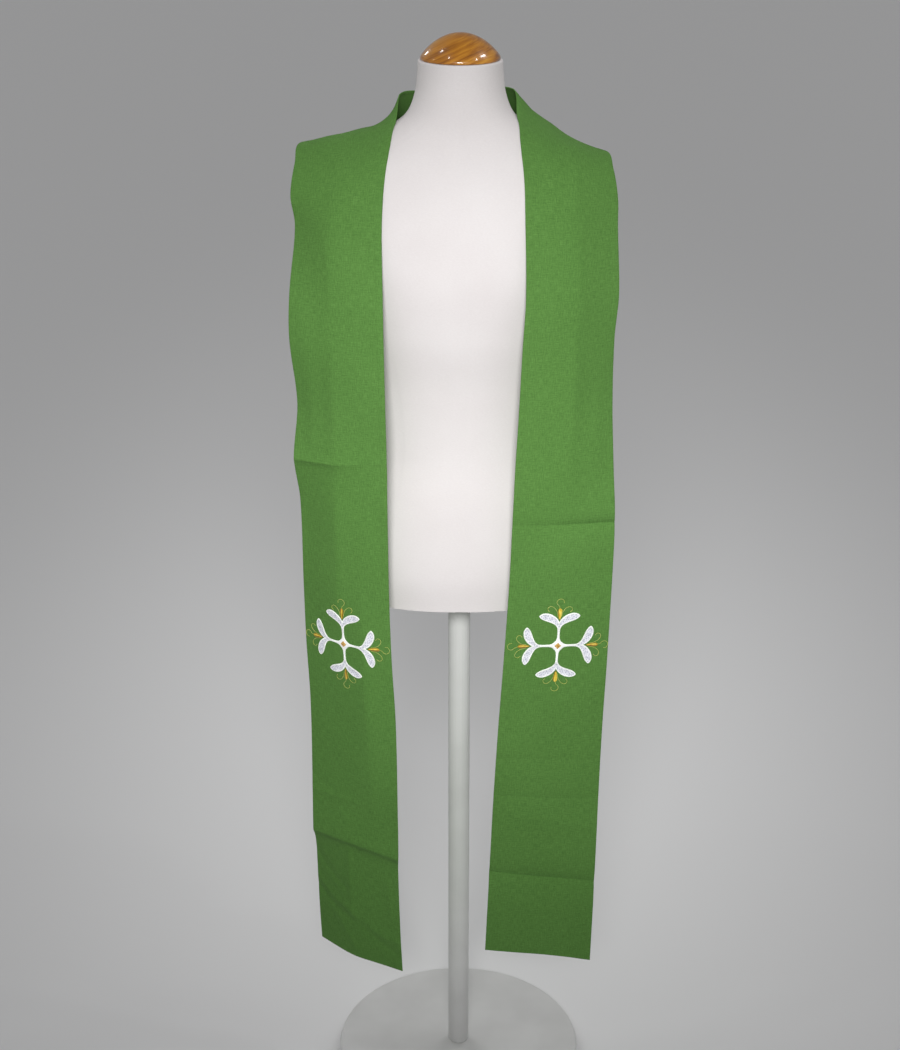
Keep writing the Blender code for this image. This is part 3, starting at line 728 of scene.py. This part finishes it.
class HalfStole:
    """One half's mid surface, as a grid of points.

    `runs` are the rows' distances from the nape, and `shares` the columns' places across the strip.
    """

    def __init__(self, name, side, over, hang, form):
        self.name = name
        self.side = side
        sections = section_points(over, hang)
        steps = np.linalg.norm(np.diff(sections[:, CREASE], axis=0), axis=-1)
        knots = np.concatenate([[0.0], np.cumsum(steps)])
        self.length = float(knots[-1])
        self.runs = self.row_runs()
        self.shares = np.concatenate([EDGE_COLUMNS, MIDDLE_COLUMNS, 1 - np.array(EDGE_COLUMNS[::-1])])
        self.width = strip_width(self.runs)[:, None]
        self.above_hem = (self.length - self.runs)[:, None]
        pressed = soft_step((self.runs - PRESSED_FROM) / PRESSED_OVER)[:, None, None]
        opened = soft_step((self.runs - self.length + OPENED_FROM) / OPENED_OVER)[:, None, None]
        flat = flat_panels(self.shares, CREASE_SOFTNESS) * (1 - opened)
        flat = flat + flat_panels(self.shares, HEM_SOFTNESS) * opened
        along = smooth(np.eye(len(knots)), knots, self.runs)
        across = smooth(np.eye(4), SECTION_KNOTS, self.shares) * (1 - pressed) + flat * pressed
        self.points = np.einsum("ri,rcj,ijk->rck", along, across, sections)
        self.points[..., 0] *= side
        lift = self.relief() + self.folds()
        front = np.array((0, -1, 0))
        self.points += unit(self.normals() * (1 - pressed) + front * pressed) * lift[..., None]
        self.clear_of(form)
        self.normal = self.normals()

    def row_runs(self):
        fine = [(0.0, ROW_STEP), (self.length - HEM_TURNING - FINE_MARGIN, self.length)]
        for fold in FOLDS[self.name]:
            places = [self.length - at for at in fold.at]
            fine.append((min(places) - FINE_ABOVE, max(places) + FINE_BELOW))
        runs = [0.0]
        while runs[-1] < self.length:
            close = any(low <= runs[-1] <= high for low, high in fine)
            runs.append(runs[-1] + (FINE_STEP if close else ROW_STEP))
        return np.array([run for run in runs if run <= self.length - LAST_GAP] + [self.length])

    def normals(self):
        fall = np.gradient(self.points, axis=0)
        out = np.gradient(self.points, axis=1)
        return unit(np.cross(fall, out) * self.side)

    def folds(self):
        """How far the creases across the strip bring it out."""
        lift = np.zeros(self.points.shape[:2])
        for fold in FOLDS[self.name]:
            below = curve(fold.at, AT_KNOTS, self.shares) - self.above_hem
            strength = curve((fold.strength[0], *fold.strength), STRENGTH_KNOTS, self.shares)
            reach = np.where(below < 0, fold.above, fold.below)
            gap = np.hypot(below, fold.rounding) - fold.rounding
            lift += fold.height * strength * np.exp(-gap / reach)
        return lift

    def relief(self):
        """How far ridges, turned edges and slow waves lift the cloth, or let it fall in."""
        share = self.shares[None, :]
        lift = np.zeros(self.points.shape[:2])
        for ridge in RIDGES[self.name]:
            rise = ridge.end_up - ridge.start_up
            drift = ridge.end_share * RIDGE_WIDTH - ridge.start_share * RIDGE_WIDTH
            up = self.above_hem - ridge.start_up
            out = share * self.width - ridge.start_share * self.width
            place = np.clip((up * rise + out * drift) / (rise * rise + drift * drift), 0, 1)
            bow = -ridge.bow * np.sin(pi * place)
            gap = np.hypot(up - rise * place - bow, out - drift * place)
            lift += ridge.height * np.exp(-((gap / ridge.half_width) ** 2))
        to_side = np.minimum(share, 1 - share) * self.width
        lift += TURNING_LIFT * np.maximum(
            soft_step((TURNING_WIDTH - to_side) / TURNING_STEP),
            soft_step((HEM_TURNING - self.above_hem) / TURNING_STEP),
        )
        for wave in WAVES:
            turns = self.above_hem * 2 * pi / wave.length + wave.slant * share
            lift += wave.height * np.sin(turns + wave.shift * WAVE_PHASE[self.name])
        return lift

    def clear_of(self, form):
        """Lays the cloth on the form wherever it would be inside it."""
        offset = WALL / 2 + CLEARANCE
        for row in self.points:
            for spot in row:
                near, normal, _, _ = form.find_nearest(Vector(spot), FORM_REACH)
                if near is None:
                    continue
                away = (Vector(spot) - near).dot(normal)
                if away < offset:
                    spot[:] = near + normal * offset

    def at(self, run, share):
        """The mid surface's point and normal at any run and share."""
        row, down = between(self.runs, run)
        column, over = between(self.shares, share)
        found = []
        for values in (self.points, self.normal):
            upper = values[row, column] * (1 - over) + values[row, column + 1] * over
            lower = values[row + 1, column] * (1 - over) + values[row + 1, column + 1] * over
            found.append(upper * (1 - down) + lower * down)
        return found[0], unit(found[1])

    def on_cloth(self, out, up, lift):
        """Points `out` and `up` from the middle of the cross, and `lift` above the cloth."""
        run = self.length - CROSS_ABOVE_HEM[self.name] - np.asarray(up)
        share = 0.5 + (CROSS_OUTWARD[self.name] + np.asarray(out)) / strip_width(run)
        point, normal = self.at(run, share)
        return point + normal * (WALL / 2 + np.asarray(lift))[..., None]


def soft_step(values):
    share = np.clip(values * 0.5 + 0.5, 0, 1)
    return share * share * (3 - 2 * share)


def make_half(half, material, lining):
    """The shell: face and lined back, thinner towards its pressed edges."""
    rows, columns = half.points.shape[:2]
    share = half.shares[None, :]
    to_side = np.minimum(share, 1 - share) * half.width
    to_edge = np.minimum(to_side, np.minimum(half.runs[:, None] + NAPE_ROUNDED, half.above_hem))
    inside = np.clip(to_edge / EDGE_ROUNDING, 0, 1)
    swell = np.sqrt(1 - (1 - inside) ** 2)
    half_wall = WALL / 2 * (EDGE_THICKNESS + (1 - EDGE_THICKNESS) * swell)
    face = half.points + half.normal * half_wall[..., None]
    lined = soft_step((to_edge - LINING_INSET) / LINING_STEP)
    back = half.points - half.normal * (half_wall - LINING_DROP * lined)[..., None]
    place = np.stack(np.broadcast_arrays(share * half.width, half.runs[:, None], 0.0), -1)
    places = np.concatenate([place.reshape(-1, 3), place.reshape(-1, 3) + (0, 0, 1)])
    points = np.concatenate([face.reshape(-1, 3), back.reshape(-1, 3)])
    flip = half.side < 0
    edge = rim_faces(rows, columns, flip)
    lined_faces = grid_faces(rows, columns, rows * columns, not flip)
    faces = np.concatenate([grid_faces(rows, columns, 0, flip), lined_faces, edge])
    cell_to_edge = (to_edge[:-1, :-1] + to_edge[1:, 1:]).reshape(-1) / 2
    lined_cells = cell_to_edge > LINING_INSET
    marks = np.concatenate([np.zeros_like(lined_cells), lined_cells, np.zeros(len(edge), bool)])
    made = mesh_object("stole_" + half.name, points, faces, [material, lining], marks, cloth=places)
    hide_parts("stole_half_" + half.name)
    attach(made, "root")
    return made


# ---- the embroidery
class Stitched:
    """Collects raised patches and threads into one mesh on a half's cloth."""

    def __init__(self, half):
        self.half = half
        self.parts = []
        self.count = 0

    def add(self, points, faces, marks, places):
        marks = np.zeros(len(faces), int) if marks is None else marks.reshape(-1)
        self.parts.append((points.reshape(-1, 3), faces, marks, places.reshape(-1, 3)))
        self.count += points.size // 3

    def patch(self, out, up, lift, thread, marks=None):
        """A grid of points given by flat place and height, wound so that it faces the front."""
        top = self.half.on_cloth(out, up, lift)
        row, column = top.shape[0] // 2, top.shape[1] // 2
        down = top[row + 1, column] - top[row - 1, column]
        over = top[row, column + 1] - top[row, column - 1]
        faces_back = np.cross(down, over)[1] > 0
        self.add(top, grid_faces(*out.shape, self.count, faces_back), marks, thread)

    def tube(self, path, radius, sides=6):
        """A thread along a path of points."""
        along = unit(np.gradient(path, axis=0))
        off_cloth = (0.03, 1.0, 0.02)
        side = unit(np.cross(along, off_cloth))
        other = np.cross(side, along)
        turn = np.linspace(0, 2 * pi, sides, endpoint=False)
        rings = path[:, None] + radius * (
            np.cos(turn)[:, None] * side[:, None] + np.sin(turn)[:, None] * other[:, None])
        run = np.concatenate([[0], np.cumsum(np.linalg.norm(np.diff(path, axis=0), axis=1))])
        place = np.stack(np.broadcast_arrays(run[:, None], turn * radius, 0.0), -1)
        self.add(rings, ring_faces(len(path), sides, self.count, flip=True), None, place)

    def finish(self, name, materials, replaces):
        points, faces, marks, places = (np.concatenate(part) for part in zip(*self.parts))
        made = mesh_object(name, points, faces, materials, marks, thread=places)
        if replaces:
            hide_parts(*replaces)
        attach(made, "root")
        return made


def turned(out, side, quarter):
    """Turns flat places by quarters round the cross's middle."""
    turn = quarter * pi / 2
    return out * cos(turn) - side * sin(turn), out * sin(turn) + side * cos(turn)


def satin(inside, kind):
    """The height of satin stitch at a distance from its edge: a round rim, then the flatter fill."""
    rise = np.sqrt(np.clip(1 - (1 - np.clip(inside / (kind.rim * 0.5), 0, 1)) ** 2, 0, 1))
    settle = soft_step((inside / kind.rim - SETTLED_AT) * SETTLING)
    return PAD + (kind.crown * rise) * (1 - settle) + kind.fill * settle


def let_down(lift, inside, outline=OUTLINE):
    """A patch's heights, with its outermost points let down to the outline's."""
    return np.where(inside <= 1e-9, outline, lift)


def make_leaf(stitched, quarter, twin, seed):
    """One leaf of an arm. `twin` is +1 or -1, the side of the arm that it bends to."""
    rows = int(LEAF_LENGTH / (STITCH * 0.5))
    share = np.linspace(0, 1, rows)
    turn = pi / 2 * share
    middle = np.stack([LEAF_START + LEAF_REACH * np.sin(turn), LEAF_SPREAD * (1 - np.cos(turn))], -1)
    ahead = unit(np.stack([LEAF_REACH * np.cos(turn), LEAF_SPREAD * np.sin(turn)], -1))
    half_width = smooth_width(LEAF_WIDTHS, share)
    ends = np.where(np.arange(rows) % 2 == 0, 1.0, SHORT_STITCH) + jitter(rows, LEAF_RAGGED, seed)
    # Its inner side stops at the arm's middle line, where its twin begins.
    highest = np.minimum(1.0, middle[:, 1] / np.maximum(half_width * ahead[:, 0], 1e-6))
    place = -1 + (highest[:, None] + 1) * np.linspace(0, 1, LEAF_COLUMNS)
    spread = place * (half_width * ends)[:, None]
    out = middle[:, 0:1] + ahead[:, 1:2] * spread
    side = np.maximum(middle[:, 1:2] - ahead[:, 0:1] * spread, 0.0)
    along = share[:, None] * LEAF_LENGTH
    to_tip = (1 - share)[:, None] * LEAF_LENGTH * 0.9
    inside = np.minimum((1 - np.abs(place)) * half_width[:, None], to_tip)
    slant = np.sin((along * 0.8 + spread) * 2 * pi / SLANT_PITCH) * SLANT_HEIGHT
    pit = np.clip(np.cos(2 * pi * spread / PIT_ACROSS) * np.cos(2 * pi * along / PIT_ALONG), 0, 1)
    in_rim = inside < LEAF_SATIN.rim
    stitches = np.where(in_rim, ribs(rows, LEAF_SATIN.rib)[:, None], slant - PIT_DEPTH * pit ** 2)
    lift = let_down(satin(inside, LEAF_SATIN) + stitches, inside)
    out, up = turned(out, side * twin, quarter)
    thread = np.stack(np.broadcast_arrays(spread, along, float(seed)), -1)
    centre = (inside[:-1, :-1] + inside[1:, :-1] + inside[:-1, 1:] + inside[1:, 1:]) / 4
    stitched.patch(out, up, lift, thread, (centre > LEAF_SATIN.rim * FILL_FROM).astype(int))


def make_stem(stitched, quarter):
    """An arm from the cross's middle to the fork, wrapped in satin stitch."""
    start, end = STEM_WIDTHS[0][0], STEM_WIDTHS[-1][0]
    rows = int(end / (STITCH * 0.5))
    out = np.linspace(0.0, end, rows)
    # Inside the first width, the four arms meet in mitres.
    half_width = np.where(out < start, out, smooth_width(STEM_WIDTHS, np.maximum(out, start)))
    half_width = np.maximum(half_width, 1e-5)[:, None]
    out = out[:, None]
    across = np.linspace(-1, 1, STEM_COLUMNS)
    ragged = jitter(rows, STEM_RAGGED, quarter)[:, None] * (out > start)
    side = half_width * across * (1 + ragged)
    inside = np.where(out < start, ARMS_MEET, (1 - np.abs(across)) * half_width)
    lift = let_down(satin(inside, STEM_SATIN), inside) + ribs(rows, STEM_SATIN.rib)[:, None]
    thread = np.stack(np.broadcast_arrays(side, out, 0.0), -1)
    stitched.patch(*turned(out + 0 * side, side, quarter), lift, thread)


def make_cross(half, white, fill):
    stitched = Stitched(half)
    for quarter in range(4):
        make_stem(stitched, quarter)
        for twin in (1, -1):
            make_leaf(stitched, quarter, twin, 1 + quarter * 2 + (twin > 0))
    return stitched.finish(
        "embroidered_cross_" + half.name, [white, fill], ["cross_" + half.name])


def make_bud(half, quarter, bright, deep):
    """A gold bud, some of its stitches in the gold's darker copy as painted shade, the others bright gold
    as painted sheen.
    """
    stitched = Stitched(half)
    bud = BUDS[half.name][quarter]
    ending = half.name + "_" + ARMS[quarter]
    columns = BUD_STITCHES + 1
    share = np.linspace(0, 1, BUD_ROWS)[:, None]
    half_width = smooth_width(BUD_WIDTHS, share[:, 0])[:, None] * bud.slimness
    across = np.linspace(-1, 1, columns)
    side = half_width * across
    out = BUD_START + BUD_LENGTH * share + jitter(columns, BUD_RAGGED, quarter) * share ** 4
    inside = np.minimum((1 - np.abs(across)) * half_width, (1 - share) * BUD_LENGTH)
    lift = let_down(satin(inside, BUD_SATIN) + ribs(columns, BUD_SATIN.rib), inside)
    thread = np.stack([out, side, 0 * side + quarter], -1)
    # Stitches marked 1 take the gold's darker copy, painted shade; those left at 0 are bright gold, painted
    # sheen.
    marks = np.ones((BUD_ROWS - 1, BUD_STITCHES), int)
    marks[SHADED_ROOT_ROWS:, bud.first:bud.last] = 0
    stitched.patch(*turned(out, side, quarter), lift, thread, marks)
    return stitched.finish("bud_thread_" + ending, [bright, deep], ["bud_" + ending])


def make_diamond(half, bright, deep):
    """The gold diamond in the middle, on a grid along its sides, with painted shade along its slit in the
    gold's darker copy.
    """
    stitched = Stitched(half)
    grid = np.linspace(-1, 1, DIAMOND_STEPS)
    one, other = np.meshgrid(grid, grid, indexing="ij")
    out, up = (one + other) * (DIAMOND_HALF * 0.5), (one - other) * (DIAMOND_HALF * 0.5)
    inside = np.minimum(1 - np.abs(one), 1 - np.abs(other)) * DIAMOND_HALF * 0.7
    lift = let_down(DIAMOND_PAD + satin(inside, DIAMOND_SATIN), inside, DIAMOND_OUTLINE)
    lift = lift + ribs(DIAMOND_STEPS, DIAMOND_SATIN.rib)[:, None]
    marks = np.zeros((DIAMOND_STEPS - 1, DIAMOND_STEPS - 1), int)
    # The slit's cells take the gold's darker copy: painted shade.
    marks[DIAMOND_SLIT] = 1
    stitched.patch(out, up, lift, np.stack([up, out, 0 * out], -1), marks)
    return stitched.finish(
        "centre_thread_" + half.name, [bright, deep], ["cross_centre_" + half.name])


def make_curls(half, material):
    stitched = Stitched(half)
    for quarter in range(4):
        for points in CURLS:
            last = len(points) - 1
            path = smooth(points, range(last + 1), np.linspace(0, last, 12 * last))
            out, up = turned(path[:, 0], path[:, 1], quarter)
            stitched.tube(half.on_cloth(out, up, np.full(len(path), CURL_RADIUS * 1.1)), CURL_RADIUS)
    return stitched.finish("thread_curls_" + half.name, [material], [])


# ---- camera, light and floor
# Small lamps above the cap on all sides, seen as glints on its varnish. The turn is in degrees.
Lamp = namedtuple("Lamp", "place size turn watts")
LAMPS = (
    Lamp((-1.09, 1.48, 2.36), (0.12, 0.12), 0, 0.9),
    Lamp((-1.05, 0.33, 3.23), (0.12, 0.16), 0, 1.1),
    Lamp((-1.60, 0.21, 2.76), (0.10, 0.10), 0, 0.6),
    Lamp((-0.79, -0.62, 3.30), (0.10, 0.16), 0, 0.9),
    Lamp((1.11, -0.59, 3.13), (0.12, 0.14), 0, 2.0),
    Lamp((1.31, 0.16, 3.07), (0.50, 0.13), -24, 3.9),
)
LAMP_TARGET = (0, 0, 1.55)


def make_camera():
    lens = bpy.data.cameras.new("camera")
    lens.sensor_width = 36.0
    lens.lens = 57.29
    camera = new_object("camera", lens)
    camera.location = (-0.0135, -2.25, 1.715)
    camera.rotation_euler = (radians(70), 0, 0)
    scene.camera = camera


def add_light(name, kind, place, target, **settings):
    data = bpy.data.lights.new(name, kind)
    for label, value in settings.items():
        setattr(data, label, value)
    made = new_object(name, data)
    made.location = place
    made.rotation_euler = (Vector(target) - Vector(place)).to_track_quat("-Z", "Y").to_euler()
    return made


def make_floor():
    material = new_material("pale_floor", roughness=0.8, colour=(0.71, 0.71, 0.71))[0]
    reach = 90
    corners = [(-reach, -reach, 0), (reach, -reach, 0), (reach, reach, 0), (-reach, reach, 0)]
    mesh_object("floor", corners, [(0, 1, 2, 3)], [material])


def make_world():
    """A pale room, darker overhead."""
    world = bpy.data.worlds.new("studio")
    world.use_nodes = True
    background = world.node_tree.nodes["Background"]
    background.inputs["Strength"].default_value = 0.352
    room = ramp(parts_of(place_of(background, "Generated"))[2], (
        (0.0, (1.0, 1.0, 1.0)),
        (0.12, (0.72, 0.72, 0.73)),
        (0.35, (0.45, 0.45, 0.46)),
        (1.0, (0.32, 0.32, 0.33)),
    ))
    world.node_tree.links.new(room, background.inputs["Color"])
    scene.world = world


def make_light():
    """A soft key above the camera, a broad fill from behind on either side, and the lamps."""
    add_light("key", "SPOT", (-0.05, -2.95, 2.35), (0.01, 0, 0.985), energy=585,
              shadow_soft_size=0.5, spot_size=radians(31.5), spot_blend=1.0)
    for side in (-1, 1):
        fill = add_light("fill", "SUN", (side * 1.8, 2.6, 1.9), (0, 0, 0), energy=0.9, angle=radians(40))
        fill.visible_glossy = False
    for lamp in LAMPS:
        width, depth = lamp.size
        panel = add_light("lamp", "AREA", lamp.place, LAMP_TARGET, energy=lamp.watts,
                          shape="RECTANGLE", size=width, size_y=depth)
        panel.rotation_euler.rotate_axis("Z", radians(lamp.turn))


def main():
    scene.view_settings.view_transform = "Standard"
    scene.view_settings.look = "None"
    make_camera()
    make_world()
    make_light()
    make_floor()
    cover = make_cover(jersey_material())
    make_cap(wood_material())
    paint_stand(steel_material())
    mesh = cover.data
    form = BVHTree.FromPolygons(
        [vertex.co for vertex in mesh.vertices], [face.vertices for face in mesh.polygons])
    cloth = stole_material("stole_cloth", GREEN, roughness=0.88, coarseness=1.0)
    lining = stole_material("stole_lining", shade(GREEN, 0.92), roughness=0.62, coarseness=0.5)
    white, fill, bright, deep, centre, curl = (thread_material(*item) for item in THREADS.items())
    for half in (
        HalfStole("right", -1, RIGHT_OVER, RIGHT_HANG, form),
        HalfStole("left", 1, LEFT_OVER, LEFT_HANG, form),
    ):
        strip = make_half(half, cloth, lining)
        trim = [make_cross(half, white, fill), make_diamond(half, centre, deep), make_curls(half, curl)]
        trim += [make_bud(half, quarter, bright, deep) for quarter in range(4)]


main()
